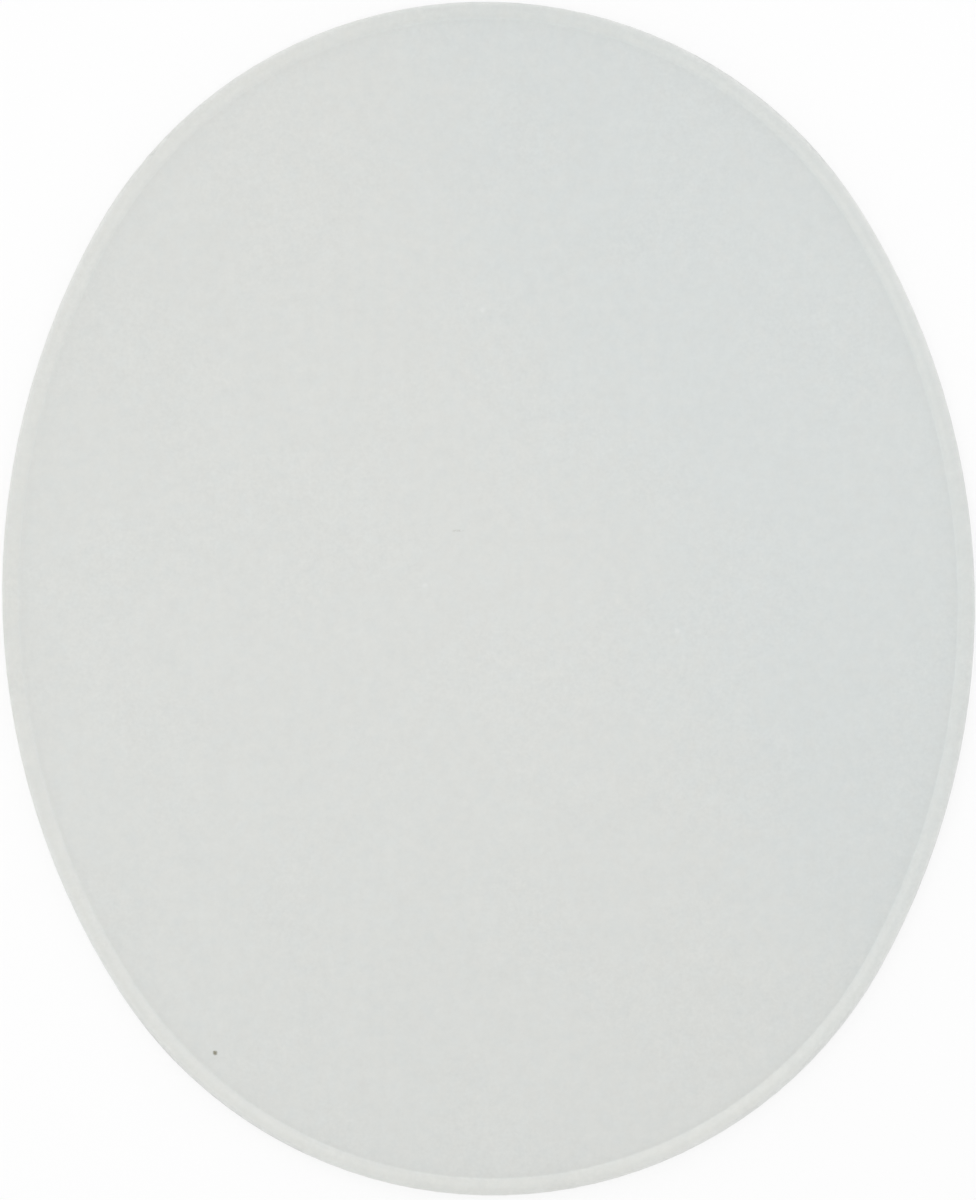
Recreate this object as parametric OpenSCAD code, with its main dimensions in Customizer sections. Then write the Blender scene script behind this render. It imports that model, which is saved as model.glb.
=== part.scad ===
// Oval racing number board: one moulded plate with a raised rim round its
// front face and a plain flat back. It lies on its back with the front face
// up and its long axis along Y.

/* [Outline] */
// Width of the board across its short axis
board_w = 228; // [216:1:250]
// Length of the board along its long axis
board_h = 280; // [260:1:300]
// Radius of the two flat arcs that make the board's sides
side_r = 174; // [165:1:200]

/* [Panel] */
// Thickness of the flat panel inside the rim
panel_t = 2.5; // [1.5:0.1:4]
// Radius that breaks the back edge
back_edge_r = 0.4; // [0.2:0.1:0.8]

/* [Rim] */
// Height of the rim above the panel
rim_h = 1; // [0.6:0.1:1.6]
// Radius of the rim's outer edge
edge_r = 1; // [0.6:0.1:1.2]
// Width of the flat land along the top of the rim
land_w = 0.2; // [0.1:0.1:3]
// Radius of the hollow where the slope meets the panel
foot_r = 0.6; // [0.3:0.1:1]

/* [Hidden] */

// Facets in a full turn of the outline, and in a full turn of the section's arcs
$fn = 120;
section_fn = 32;

// The outline is a four-centre oval. The side arcs have their centres on the
// short axis, and the tighter end arcs have theirs on the long axis. Each pair
// of neighbours shares a tangent on the line through both centres, which
// stands at join_angle to the short axis. The end radius follows from that,
// and is kept to whole micrometres so that both arcs end at the same place.
half_w = board_w / 2;
half_h = board_h / 2;
exact_end_r = (2 * side_r * half_w - half_w * half_w - half_h * half_h) / (2 * (side_r - half_h));
end_r = round(exact_end_r * 1000) / 1000;
end_offset = half_h - end_r;
join_angle = atan2(end_offset, side_r - half_w);

// The rim's inner slope is two arcs that share a tangent: a full shoulder that
// leaves the land level, and a tight foot that meets the panel level. The
// tangent rises 3 in 4, so the slope runs three times as far as it rises, and
// each arc runs 0.6 of its radius and rises 0.2 of it.
arc_run = 0.6;
arc_rise = 0.2;
crown_z = panel_t + rim_h;
slope_run = rim_h * arc_run / arc_rise;
rim_w = edge_r + land_w + slope_run;
shoulder_r = rim_h / arc_rise - foot_r;
foot_run = foot_r * arc_run;
foot_rise = foot_r * arc_rise;

// What rounding takes off a corner at the origin whose solid is to the lower
// left
module corner_waste(r) {
    difference() {
        translate([-r, -r])
            square(r);
        translate([-r, -r])
            circle(r, $fn = section_fn);
    }
}

// Section of the slope, which rises from the panel at the origin. The foot is
// hollowed out below the point where the arcs meet, and the shoulder is
// rounded off above it.
module slope_section() {
    difference() {
        square([slope_run, foot_rise]);
        translate([0, foot_r])
            circle(foot_r, $fn = section_fn);
    }
    intersection() {
        translate([foot_run, foot_rise])
            square([slope_run - foot_run, rim_h - foot_rise]);
        translate([slope_run, rim_h - shoulder_r])
            circle(shoulder_r, $fn = section_fn);
    }
}

// Section of the board from the centre of one of the outline's arcs out to its
// edge
module board_section(radius) {
    difference() {
        union() {
            square([radius, panel_t]);
            translate([radius, panel_t]) {
                translate([-rim_w, 0])
                    slope_section();
                translate([-edge_r - land_w, 0])
                    square([edge_r + land_w, rim_h]);
            }
        }
        translate([radius, 0]) {
            translate([0, crown_z])
                corner_waste(edge_r);
            mirror([0, 1])
                corner_waste(back_edge_r);
        }
    }
}

// The board under one arc of the outline, swept about the arc's centre
module arc_slice(radius, sweep) {
    rotate_extrude(angle = sweep)
        board_section(radius);
}

// The quarter of the board between +X and +Y. The end slice and the side slice
// start back to back on the line through both centres. Each is swept past an
// axis of the board and trimmed there.
module quarter_board() {
    intersection() {
        translate([0, 0, -crown_z])
            cube([board_w, board_h, 3 * crown_z]);
        translate([0, end_offset])
            rotate([0, 0, join_angle]) {
                arc_slice(end_r, 90);
                translate([end_r - side_r, 0])
                    arc_slice(side_r, -90);
            }
    }
}

// A shape with its mirror image across the plane square to the given direction
module mirrored(direction) {
    children();
    mirror(direction)
        children();
}

module number_board() {
    color("gainsboro")
        mirrored([0, 1, 0])
            mirrored([1, 0, 0])
                quarter_board();
}

number_board();
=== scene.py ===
"""The oval racing number board, lying face up on a white table in a light tent.

The board is one moulding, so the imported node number_board is shown as it is,
and this script gives it its satin white plastic, its few marks and its light.
Lengths are in metres, and those inside the board's plastic are in millimetres.
"""

import math

import bpy
from mathutils import Matrix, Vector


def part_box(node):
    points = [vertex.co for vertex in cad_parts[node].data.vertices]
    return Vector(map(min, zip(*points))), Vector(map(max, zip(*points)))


MM = 0.001

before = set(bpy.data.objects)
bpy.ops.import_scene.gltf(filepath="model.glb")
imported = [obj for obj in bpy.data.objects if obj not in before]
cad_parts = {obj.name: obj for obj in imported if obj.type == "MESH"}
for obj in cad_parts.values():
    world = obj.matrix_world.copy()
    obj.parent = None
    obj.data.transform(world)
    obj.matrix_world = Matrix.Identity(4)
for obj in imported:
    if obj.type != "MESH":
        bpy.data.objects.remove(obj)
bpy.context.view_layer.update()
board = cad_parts["number_board"]
board_low, board_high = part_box("number_board")

# Two sizes that the board's box doesn't give: the height of the rim over the
# flat panel, and the radius that rounds the rim's outer edge
RIM_HEIGHT = 1.0 * MM
EDGE_RADIUS = 1.0 * MM
panel_face = board_high.z - RIM_HEIGHT
rim_edge = board_high.z - EDGE_RADIUS

# The outline in mm: an oval of two flat side arcs, whose radius the box
# doesn't give either, and two tighter end arcs, which meet them on the lines
# through their centres
SIDE_RADIUS = 174.0
half_width = board_high.x / MM
half_length = board_high.y / MM
side_offset = SIDE_RADIUS - half_width
end_radius = (SIDE_RADIUS**2 - side_offset**2 - half_length**2) / (2 * (SIDE_RADIUS - half_length))
end_offset = half_length - end_radius


# Node maths


class Value:
    """One output in a node tree. Arithmetic on it adds Math nodes."""

    def __init__(self, finish, socket):
        self.finish = finish
        self.socket = socket

    def __add__(self, other):
        return self.finish.maths("ADD", self, other)

    def __sub__(self, other):
        return self.finish.maths("SUBTRACT", self, other)

    def __rsub__(self, other):
        return self.finish.maths("SUBTRACT", other, self)

    def __mul__(self, other):
        return self.finish.maths("MULTIPLY", self, other)

    def __pow__(self, other):
        return self.finish.maths("POWER", self, other)

    __radd__ = __add__
    __rmul__ = __mul__

    def absolute(self):
        return self.finish.maths("ABSOLUTE", self)

    def at_least(self, other):
        return self.finish.maths("MAXIMUM", self, other)

    def at_most(self, other):
        return self.finish.maths("MINIMUM", self, other)

    def above(self, other):
        """1 where this is more than the other, and else 0."""
        return self.finish.maths("GREATER_THAN", self, other)

    def rise(self, low, high):
        """0 below low and 1 above high, with a smooth rise between them."""
        inputs = {"Value": self, "From Min": low, "From Max": high}
        return self.finish.value("MapRange", inputs, interpolation_type="SMOOTHSTEP")

    def band(self, start, full, fade, end):
        """1 from full to fade, and smoothly down to 0 at start and at end."""
        return self.rise(start, full) * (1 - self.rise(fade, end))

    def swing(self, amount):
        """Noise as a change up or down, by up to half the amount."""
        return (self - 0.5) * amount


# The places of a Mix node's colour sockets, which come after its number and
# vector sockets
MIX_FACTOR, MIX_FIRST, MIX_SECOND, MIX_RESULT = 0, 6, 7, 2


class Finish:
    """The node tree of a material or of the world, and its way to add nodes."""

    def __init__(self, owner, output="OutputMaterial"):
        owner.use_nodes = True
        self.owner = owner
        self.output = output
        self.tree = owner.node_tree
        self.tree.nodes.clear()

    def node(self, kind, inputs, **settings):
        """Adds a node: its settings first, then its sockets' values or links."""
        made = self.tree.nodes.new("ShaderNode" + kind)
        for name, setting in settings.items():
            setattr(made, name, setting)
        for name, given in inputs.items():
            if isinstance(given, Value):
                self.tree.links.new(given.socket, made.inputs[name])
            else:
                made.inputs[name].default_value = given
        return made

    def value(self, kind, inputs, output=0, **settings):
        """One output of a new node."""
        return Value(self, self.node(kind, inputs, **settings).outputs[output])

    def maths(self, operation, *numbers):
        return self.value("Math", dict(enumerate(numbers)), operation=operation)

    def length(self, across, along):
        return (across * across + along * along) ** 0.5

    def split(self, vector):
        parts = self.node("SeparateXYZ", {0: vector})
        return [Value(self, output) for output in parts.outputs]

    def noise(self, place, size, detail, roughness):
        """Noise from 0 to 1 whose patches are about size across."""
        inputs = {"Vector": place, "Scale": 1 / size, "Detail": detail, "Roughness": roughness}
        return self.value("TexNoise", inputs)

    def mix(self, factor, first, second, blend="MIX"):
        """Colours mixed by a factor from 0 to 1."""
        inputs = {MIX_FACTOR: factor, MIX_FIRST: first, MIX_SECOND: second}
        return self.value("Mix", inputs, MIX_RESULT, data_type="RGBA", blend_type=blend)

    def end_in(self, kind, inputs):
        """Ends the tree in a shader, and gives back its material or world."""
        self.node(self.output, {"Surface": self.value(kind, inputs)})
        return self.owner


def rgb(red, green, blue):
    return (red, green, blue, 1.0)


# Board plastic

# Zones round the edge, in mm in from it. The ridge is the top of the rim's
# inner slope, and the hollow is its foot. Each starts, is full, fades and
# ends at the four distances given.
RIM_WIDTH = 4.2
RIM_FADE = 1.2
# How far in from the edge the painted highlight on the rim's outer edge reaches
EDGE_HIGHLIGHT_WIDTH = 2.0
RIDGE = (2.0, 3.0, 3.0, RIM_WIDTH)
HOLLOW = (RIM_WIDTH - 0.3, RIM_WIDTH + 0.3, RIM_WIDTH + 0.4, RIM_WIDTH + 1.3)

# The oval's four shoulders grow from the first to the second of these, which
# are the distances from the two axes multiplied, in square mm
SHOULDERS = (1500.0, 7500.0)

# Marks and grime fade out between these depths below the panel's face, in mm,
# so that the side wall and the back stay clean
FRONT_FULL, FRONT_END = 0.1, 0.4

# Noises in the plastic: the size of the patches in mm, detail and roughness
DRIFT = (55.0, 4.0, 0.65)
PATCHES = (38.0, 1.0, 0.5)
MOTTLE = (7.0, 2.0, 0.8)
PEEL = (4.0, 1.0, 0.5)
CLOUD = (3.2, 1.0, 0.5)
COARSE = (2.6, 2.0, 0.7)
GRAIN = (0.9, 2.0, 0.6)
RAGGED = (0.5, 3.0, 0.5)

# Between which values of their noise the patches come in
PATCH_RANGE = (0.42, 0.62)

# Painted light: the plastic turns cooler and a little darker towards the upper
# right, where cooler, dimmer light falls, over COOL_WIDTH mm that the drift
# moves by up to half of COOL_WANDER. Up the board counts as COOL_UP of across
# it. Even the warm side is COOL_LEAST cool.
PLASTIC = rgb(0.693, 0.705, 0.681)
PLASTIC_IN_COOL_LIGHT = rgb(0.664, 0.694, 0.684)
COOL_WIDTH = 80.0
COOL_WANDER = 90.0
COOL_UP = 0.45
COOL_LEAST, COOL_SHARE, COOL_CLOUD = 0.1, 0.8, 1.0

# The rim is painted paler than the panel, as painted light that the raised rim
# catches, most at the shoulders and away from the cooler upper right. Its outer
# edge and the top of its slope get painted highlights, most at the shoulders,
# and painted shade with a little grime lies in the hollow at its foot.
RIM_LESS_LIT = rgb(0.991, 0.985, 0.976)
RIM_MORE_LIT = rgb(1.020, 1.014, 1.003)
# The colour of the painted highlights on the rim's outer edge and the top of its slope
EDGE_HIGHLIGHT = rgb(0.740, 0.752, 0.733)
EDGE_HIGHLIGHT_SHARE, EDGE_HIGHLIGHT_AT_SHOULDERS, EDGE_HIGHLIGHT_MOTTLE = 0.3, 0.6, 1.0
RIDGE_SHARE = 0.25
# Painted shade, with a little grime, for the hollow at the rim's foot
GRIME_AND_SHADE = rgb(0.50, 0.50, 0.46)
GRIME_AND_SHADE_SHARE = 0.08

# How much each noise moves the plastic's tone between these two greys
GRAIN_DARK = rgb(0.94, 0.94, 0.94)
GRAIN_PALE = rgb(1.06, 1.06, 1.06)
DRIFT_TONE, MOTTLE_TONE, COARSE_TONE = 0.1, 0.4, 0.65
GRAIN_TONE, GRAIN_TONE_IN_PATCHES = 0.4, 0.5

# Marks on the face. Places are from the centre of the board, in mm. Soft is
# the share of a mark's radius over which its edge fades, and wander is how
# ragged that edge is, in mm.
GRIT = rgb(0.28, 0.27, 0.21)
GRIT_PLACE = (-67.3, -104.4)
GRIT_RADIUS, GRIT_SOFT, GRIT_WANDER = 0.5, 0.5, 0.6

SMEAR_PLACE = (-6.9, 16.7)
SMEAR_HALF_LENGTH, SMEAR_HALF_WIDTH = 1.4, 0.28
SMEAR_SOFT, SMEAR_WANDER = 0.7, 0.5
SMEAR_STREAKS = (0.42, 0.58)
SMEAR_SHARE = 0.3

DUST = rgb(0.80, 0.815, 0.80)
DUST_PLACES = [(0.6, 68.2), (44.0, -8.2), (-14.8, 4.2)]
DUST_RADIUS, DUST_SOFT, DUST_WANDER = 0.55, 0.8, 0.9
DUST_SHARE = 0.4

# Gloss: satin on the face, a little smoother along the rim, where hands and
# cloths have polished it, and dull on the grit
ROUGHNESS = 0.44
ROUGHNESS_DRIFT, ROUGHNESS_MOTTLE = 0.08, 0.08
RIM_POLISH = 0.08
GRIT_ROUGHNESS = 0.3
PLASTIC_IOR = 1.5

# Relief, in mm: a slow orange peel, the grain of the mould and the grit
PEEL_HEIGHT = 0.006
GRAIN_HEIGHT, GRAIN_HEIGHT_IN_PATCHES = 0.0015, 0.001
GRIT_HEIGHT = 0.08


class BoardPlastic(Finish):
    """Satin white moulded plastic with a fine grain, a few marks, a painted cool tint, and painted
    light, highlights and shade on the rim.
    """

    def __init__(self):
        super().__init__(bpy.data.materials.new("satin_white_plastic"))
        metres = self.value("TexCoord", {}, "Object")
        place = self.value("VectorMath", {0: metres, "Scale": 1 / MM}, operation="SCALE")
        self.x, self.y, z = self.split(place)
        panel = panel_face / MM
        self.on_front = z.rise(panel - FRONT_END, panel - FRONT_FULL)
        self.inside = self.edge_inset()
        self.on_rim = 1 - self.inside.rise(RIM_WIDTH - RIM_FADE, RIM_WIDTH)
        self.shoulders = (self.x.absolute() * self.y.absolute()).rise(*SHOULDERS)
        self.drift = self.noise(place, *DRIFT)
        self.patches = self.noise(place, *PATCHES).rise(*PATCH_RANGE)
        self.mottle = self.noise(place, *MOTTLE)
        self.peel = self.noise(place, *PEEL)
        self.cloud = self.noise(place, *CLOUD)
        self.coarse = self.noise(place, *COARSE)
        self.grain = self.noise(place, *GRAIN)
        self.ragged = self.noise(place, *RAGGED)
        self.grit = self.spot(GRIT_PLACE, GRIT_RADIUS, GRIT_SOFT, GRIT_WANDER)

    def edge_inset(self):
        """How far the surface is inside the board's outline, in mm."""
        across, along = self.x.absolute(), self.y.absolute()
        past_join = (along * side_offset - across * end_offset).above(end_offset * side_offset)
        from_side = SIDE_RADIUS - self.length(across + side_offset, along)
        from_end = end_radius - self.length(across, along - end_offset)
        return from_side + (from_end - from_side) * past_join

    def spot(self, centre, radius, soft, wander, stretch=1.0):
        """1 inside a small mark on the front, whose soft edge wanders."""
        across = (self.x - centre[0]) * (1 / stretch)
        away = self.length(across, self.y - centre[1]) + self.ragged.swing(wander)
        return (1 - away.rise(radius * (1 - soft), radius * (1 + soft))) * self.on_front

    # Painted light: a cooler, slightly darker tint towards the upper right stands in for cooler
    # light falling there
    def painted_cool_light(self):
        cool_side = self.x + self.y * COOL_UP + self.drift.swing(COOL_WANDER)
        cool_side = cool_side.rise(0.0, COOL_WIDTH) * COOL_SHARE
        return cool_side + COOL_LEAST + self.cloud.swing(COOL_CLOUD)

    def with_painted_rim_light_and_shade(self, colour, cool):
        # Painted light: the rim is paled as light that the raised rim catches, most at the
        # shoulders and away from the cooler upper right
        rim_lit = self.shoulders * 0.5 + (1 - cool) * 0.5
        rim_painted_light = self.mix(rim_lit, RIM_LESS_LIT, RIM_MORE_LIT)
        colour = self.mix(self.on_rim, colour, rim_painted_light, "MULTIPLY")
        # Painted highlights on the rim's outer edge and on the top of its inner slope, most at the
        # shoulders
        edge_highlight = EDGE_HIGHLIGHT_SHARE + self.shoulders * EDGE_HIGHLIGHT_AT_SHOULDERS + self.coarse.swing(EDGE_HIGHLIGHT_MOTTLE)
        edge_highlight = (1 - self.inside.rise(0.0, EDGE_HIGHLIGHT_WIDTH)) * edge_highlight
        ridge = self.inside.band(*RIDGE) * self.shoulders
        colour = self.mix(edge_highlight + ridge * RIDGE_SHARE, colour, EDGE_HIGHLIGHT)
        # Painted shade, with a little grime, darkens the hollow at the rim's foot
        hollow = self.inside.band(*HOLLOW) * self.on_front
        return self.mix(hollow * self.mottle * GRIME_AND_SHADE_SHARE, colour, GRIME_AND_SHADE)

    def with_grain(self, colour):
        grain_tone = GRAIN_TONE + self.patches * GRAIN_TONE_IN_PATCHES
        tone = 0.5 + self.drift.swing(DRIFT_TONE) + self.mottle.swing(MOTTLE_TONE)
        tone = tone + self.coarse.swing(COARSE_TONE) + self.grain.swing(grain_tone)
        return self.mix(1.0, colour, self.mix(tone, GRAIN_DARK, GRAIN_PALE), "MULTIPLY")

    def with_marks(self, colour):
        dust = sum(self.spot(place, DUST_RADIUS, DUST_SOFT, DUST_WANDER) for place in DUST_PLACES)
        colour = self.mix(dust * DUST_SHARE, colour, DUST)
        stretch = SMEAR_HALF_LENGTH / SMEAR_HALF_WIDTH
        smear = self.spot(SMEAR_PLACE, SMEAR_HALF_WIDTH, SMEAR_SOFT, SMEAR_WANDER, stretch)
        smear = smear * self.ragged.rise(*SMEAR_STREAKS) * SMEAR_SHARE
        return self.mix(smear.at_least(self.grit), colour, GRIT)

    def colour(self):
        cool = self.painted_cool_light()
        # The plastic's colour with the painted cool light mixed in
        tinted_plastic = self.mix(cool, PLASTIC, PLASTIC_IN_COOL_LIGHT)
        return self.with_marks(self.with_grain(self.with_painted_rim_light_and_shade(tinted_plastic, cool)))

    def roughness(self):
        satin = ROUGHNESS + self.drift.swing(ROUGHNESS_DRIFT)
        satin = satin + self.coarse.swing(ROUGHNESS_MOTTLE)
        return satin - self.on_rim * RIM_POLISH + self.grit * GRIT_ROUGHNESS

    def relief(self):
        grain_height = GRAIN_HEIGHT + self.patches * GRAIN_HEIGHT_IN_PATCHES
        height = self.peel * PEEL_HEIGHT + self.grain * grain_height + self.grit * GRIT_HEIGHT
        return self.value("Bump", {"Strength": 1.0, "Distance": MM, "Height": height}, "Normal")

    def material(self):
        return self.end_in(
            "BsdfPrincipled",
            {
                "Base Color": self.colour(),
                "Roughness": self.roughness(),
                "IOR": PLASTIC_IOR,
                "Normal": self.relief(),
            },
        )


board.data.materials.clear()
board.data.materials.append(BoardPlastic().material())


# Table

# Its top is a hair below the board's back, so that the two faces don't lie in
# one plane
TABLE_WIDTH = 6.0
TABLE_GAP = 0.02 * MM

# The white that lights the board from below, and what the camera sees of the
# table: a glow near white, and a grey that the board's shadow falls on
TABLE_WHITE = rgb(0.85, 0.85, 0.85)
SHOWN_GLOW = rgb(0.715, 0.715, 0.715)
SHOWN_GREY = rgb(0.28, 0.28, 0.28)
MATT = {"Roughness": 0.9, "Specular IOR Level": 0.0}


def seen_directly(finish):
    """1 for what the camera sees, also by way of a reflection or through glass."""
    rays = ("Is Camera Ray", "Is Glossy Ray", "Is Transmission Ray")
    return sum(finish.value("LightPath", {}, ray) for ray in rays).at_most(1.0)


def table_white():
    """White table top that is shown near white and keeps the board's shadow."""
    finish = Finish(bpy.data.materials.new("table_white"))
    glow = {"Emission Color": SHOWN_GLOW, "Emission Strength": 1.0}
    lit = finish.value("BsdfPrincipled", {"Base Color": TABLE_WHITE, **MATT})
    shown = finish.value("BsdfPrincipled", {"Base Color": SHOWN_GREY, **glow, **MATT})
    return finish.end_in("MixShader", {0: seen_directly(finish), 1: lit, 2: shown})


def table():
    half = TABLE_WIDTH / 2
    corners = [(-half, -half, 0), (half, -half, 0), (half, half, 0), (-half, half, 0)]
    mesh = bpy.data.meshes.new("table")
    mesh.from_pydata(corners, [], [(0, 1, 2, 3)])
    mesh.materials.append(table_white())
    top = bpy.data.objects.new("table", mesh)
    top.location.z = board_low.z - TABLE_GAP
    bpy.context.scene.collection.objects.link(top)


table()


# Light tent

# Brightness of the roof, and what the walls add to it next to the table. It
# fades out at the top of the walls, which is 0 at table height and 1 overhead.
TENT_ROOF = 0.745
TENT_WALLS = 1.0
WALL_TOP = 0.5


def tent():
    """The tent's roof and its brighter walls, as the world. They show as white."""
    world = bpy.data.worlds.new("tent")
    bpy.context.scene.world = world
    finish = Finish(world, "OutputWorld")
    height = finish.split(finish.value("TexCoord", {}, "Generated"))[2]
    strength = TENT_ROOF + (1 - height.rise(0.0, WALL_TOP)) * TENT_WALLS
    strength = strength + seen_directly(finish) * (1 - strength)
    finish.end_in("Background", {"Color": rgb(1, 1, 1), "Strength": strength})


tent()


# Lamps


def lamp(name, bearing, height, distance, size, turn, share):
    """A soft panel that faces the board's centre and that the camera doesn't see.

    bearing is from +X towards +Y, and height is above the table, both in
    degrees. turn is that of the panel's length away from level. share is the
    red, green and blue light that a small lamp of this power would add on the
    table, as a share of what an even white tent gives.
    """
    bearing, height, turn = math.radians(bearing), math.radians(height), math.radians(turn)
    brightest = max(share)
    light = bpy.data.lights.new(name, "AREA")
    light.shape = "RECTANGLE"
    light.size, light.size_y = size
    light.color = [part / brightest for part in share]
    light.energy = brightest * math.pi**2 * distance**2 / math.sin(height)
    holder = bpy.data.objects.new(name, light)
    aim = Matrix.Rotation(bearing, 4, "Z") @ Matrix.Rotation(math.pi / 2 - height, 4, "Y")
    panel = Matrix.Translation((0, 0, distance)) @ Matrix.Rotation(turn, 4, "Z")
    holder.matrix_world = aim @ panel
    holder.visible_camera = False
    bpy.context.scene.collection.objects.link(holder)


lamp("overhead", bearing=0, height=90, distance=0.4, size=(1.2, 0.12), turn=20,
     share=(0.232, 0.232, 0.232))
lamp("left", bearing=120, height=45, distance=1.0, size=(0.6, 0.6), turn=0,
     share=(0.063, 0.063, 0.06))
lamp("right", bearing=45, height=45, distance=1.0, size=(0.6, 0.6), turn=0,
     share=(0.01, 0.01, 0.015))


# Camera

# It looks down from above the board, from a little towards the board's top
LENS = 100
SENSOR_WIDTH = 36
CAMERA_PLACE = (0.4 * MM, 19.3 * MM)
CAMERA_ABOVE_EDGE = 781.2 * MM
CAMERA_TILT = math.radians(-1.395)
CAMERA_TURN = math.radians(-1.604)


def camera():
    lens = bpy.data.cameras.new("camera")
    lens.lens = LENS
    lens.sensor_width = SENSOR_WIDTH
    holder = bpy.data.objects.new("camera", lens)
    holder.location = (*CAMERA_PLACE, rim_edge + CAMERA_ABOVE_EDGE)
    holder.rotation_euler = (CAMERA_TILT, 0, CAMERA_TURN)
    bpy.context.scene.collection.objects.link(holder)
    bpy.context.scene.camera = holder


camera()
bpy.context.scene.view_settings.view_transform = "Standard"
